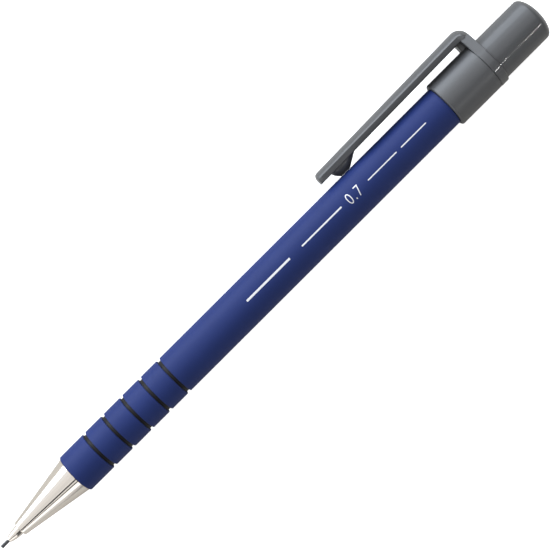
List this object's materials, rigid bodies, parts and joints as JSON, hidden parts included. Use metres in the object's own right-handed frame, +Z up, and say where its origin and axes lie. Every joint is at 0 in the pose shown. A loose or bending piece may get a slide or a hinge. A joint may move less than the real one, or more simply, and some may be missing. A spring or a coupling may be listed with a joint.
{
  "type": "mechanical pencil",
  "caption": "Slim push-button mechanical pencil with a tapered metal nose, grooved rubber grip, grey collar and spring clip.",
  "frame": {"origin": "the point on the resting surface under the middle of the lying pencil's box", "axes": "+X along the pencil from the lead's tip to the push button, +Y towards the clip, +Z up"},
  "size_m": [0.143, 0.014, 0.0101],
  "materials": {
    "nickel_plate": "bright nickel plate on turned brass",
    "black_rubber": "moulded soft rubber",
    "graphite": "extruded polymer graphite lead, dark grey with a slight sheen",
    "brass": "turned brass",
    "black_plastic": "moulded black ABS",
    "spring_steel": "drawn stainless spring wire",
    "natural_plastic": "moulded natural polypropylene",
    "aluminium": "drawn aluminium sheet",
    "white_vinyl": "white vinyl eraser",
    "grey_plastic": "moulded grey ABS, satin",
    "blue_rubber": "dark blue soft-touch rubber, matte"
  },
  "bodies": {
    "barrel": {"barrel_core": "black_plastic", "grip_band_1": "blue_rubber", "grip_band_2": "blue_rubber", "grip_band_3": "blue_rubber", "grip_band_4": "blue_rubber", "grip_band_5": "blue_rubber", "barrel_sleeve": "blue_rubber", "collar": "grey_plastic", "clip_ring": "grey_plastic", "chuck_sleeve": "black_plastic", "return_spring": "spring_steel"},
    "clip": {"clip_arm": "grey_plastic"},
    "pusher": {"lead_tube": "natural_plastic", "chuck_coupling": "natural_plastic", "chuck": "brass"},
    "closing_ring": {"chuck_ring": "brass"},
    "lead": {"lead": "graphite"},
    "spare_lead_1": {"spare_lead_1": "graphite"},
    "spare_lead_2": {"spare_lead_2": "graphite"},
    "eraser_unit": {"eraser_ferrule": "aluminium", "eraser": "white_vinyl"},
    "button": {"push_button": "grey_plastic"},
    "nose_travel": {"lead_retainer": "black_rubber"},
    "nose": {"nose_cone": "nickel_plate"}
  },
  "joints": [
    {"name": "push_slide", "type": "slide", "parent": "barrel", "child": "pusher", "axis": [1, 0, 0], "range_m": [-0.0035, 0], "stiffness_N_per_m": 1000, "springref_m": 0.004, "deforming": ["return_spring"]},
    {"name": "chuck_ring_slide", "type": "slide", "parent": "barrel", "child": "closing_ring", "axis": [1, 0, 0], "range_m": [-0.0008, 0]},
    {"name": "lead_feed", "type": "slide", "parent": "barrel", "child": "lead", "axis": [1, 0, 0], "range_m": [-0.008, 0.00187]},
    {"name": "spare_lead_1_slide", "type": "slide", "parent": "pusher", "child": "spare_lead_1", "axis": [1, 0, 0], "range_m": [0, 0.0275]},
    {"name": "spare_lead_2_slide", "type": "slide", "parent": "pusher", "child": "spare_lead_2", "axis": [1, 0, 0], "range_m": [-0.0035, 0.025]},
    {"name": "eraser_pull", "type": "slide", "parent": "pusher", "child": "eraser_unit", "axis": [1, 0, 0], "range_m": [0, 0.014]},
    {"name": "button_pull", "type": "slide", "parent": "eraser_unit", "child": "button", "axis": [1, 0, 0], "range_m": [0, 0.02]},
    {"name": "cone_travel", "type": "slide", "parent": "barrel", "child": "nose_travel", "axis": [1, 0, 0], "range_m": [-0.0045, 0]},
    {"name": "cone_turn", "type": "hinge", "parent": "nose_travel", "child": "nose", "pos_m": [-0.05181, -0.0019, 0.00506], "axis": [1, 0, 0], "range_deg": [-2160, 0]},
    {"name": "clip_flex", "type": "hinge", "parent": "barrel", "child": "clip", "pos_m": [0.05897, 0.0045, 0.00506], "axis": [0, 0, -1], "range_deg": [0, 3], "stiffness_Nm_per_rad": 0.6, "springref_deg": -1.72}
  ],
  "couplings": [
    {"joint": "chuck_ring_slide", "follows": "push_slide", "ratio": 0.2285},
    {"joint": "cone_travel", "follows": "cone_turn", "m_per_rad": 0.00011937}
  ]
}
